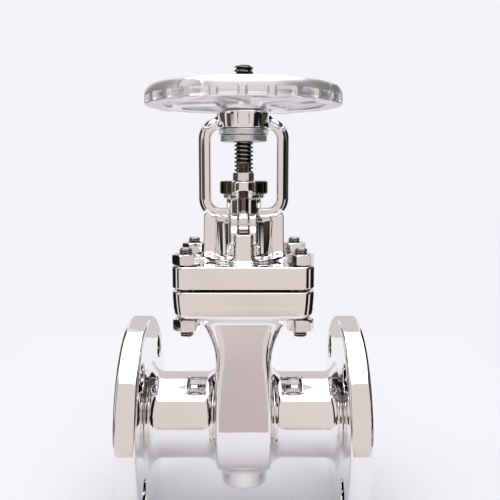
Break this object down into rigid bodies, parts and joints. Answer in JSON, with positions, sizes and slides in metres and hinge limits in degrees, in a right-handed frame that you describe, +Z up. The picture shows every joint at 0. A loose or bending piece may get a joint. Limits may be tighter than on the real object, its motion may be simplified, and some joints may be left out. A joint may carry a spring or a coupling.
{
  "type": "gate valve",
  "caption": "Flanged gate valve with a bolted bonnet, outside screw and yoke, rising stem, swing-bolt gland and spoked handwheel in polished stainless steel.",
  "frame": {"origin": "centre of the flow bore, midway between the two pipe faces", "axes": "+X along the flow towards the outlet face, +Z up along the stem, -Y towards the front of the gland"},
  "size_m": [0.178, 0.1524, 0.341],
  "materials": {
    "polished_steel": "mirror polished stainless steel casting",
    "fastener_steel": "polished stainless steel",
    "satin_steel": "satin turned steel",
    "stem_steel": "turned stainless steel, threaded",
    "wheel_alloy": "pale silver, soft gloss",
    "graphite": "matte graphite",
    "hard_facing": "ground hard facing"
  },
  "bodies": {
    "root": {"body_casting": "polished_steel", "bonnet_yoke": "polished_steel", "gland_follower": "polished_steel", "gland_flange": "polished_steel", "eyebolt_front": "fastener_steel", "eyebolt_rear": "fastener_steel", "eyebolt_pin_front": "fastener_steel", "eyebolt_pin_rear": "fastener_steel", "gland_nut_front": "fastener_steel", "gland_nut_rear": "fastener_steel", "bonnet_stud_1": "fastener_steel", "bonnet_stud_2": "fastener_steel", "bonnet_stud_3": "fastener_steel", "bonnet_stud_4": "fastener_steel", "bonnet_nut_upper_1": "fastener_steel", "bonnet_nut_upper_2": "fastener_steel", "bonnet_nut_upper_3": "fastener_steel", "bonnet_nut_upper_4": "fastener_steel", "bonnet_nut_lower_1": "fastener_steel", "bonnet_nut_lower_2": "fastener_steel", "bonnet_nut_lower_3": "fastener_steel", "bonnet_nut_lower_4": "fastener_steel", "thrust_washer": "satin_steel", "bonnet_gasket": "graphite", "packing_ring_1": "graphite", "packing_ring_2": "graphite", "packing_ring_3": "graphite", "packing_ring_4": "graphite", "packing_ring_5": "graphite", "seat_ring_left": "hard_facing", "seat_ring_right": "hard_facing", "backseat_bushing": "hard_facing"},
    "handwheel": {"handwheel": "wheel_alloy", "handwheel_key": "stem_steel", "handwheel_washer": "satin_steel", "handwheel_nut": "satin_steel", "yoke_nut": "satin_steel"},
    "stem": {"stem": "stem_steel", "gate_wedge": "hard_facing"}
  },
  "joints": [
    {"name": "handwheel_spin", "type": "hinge", "parent": "root", "child": "handwheel", "pos_m": [0, 0, 0.2424], "axis": [0, 0, 1], "range_deg": [0, 6480]},
    {"name": "stem_lift", "type": "slide", "parent": "root", "child": "stem", "axis": [0, 0, 1], "range_m": [0, 0.054]}
  ],
  "couplings": [
    {"joint": "stem_lift", "follows": "handwheel_spin", "m_per_rad": 0.00047746}
  ]
}
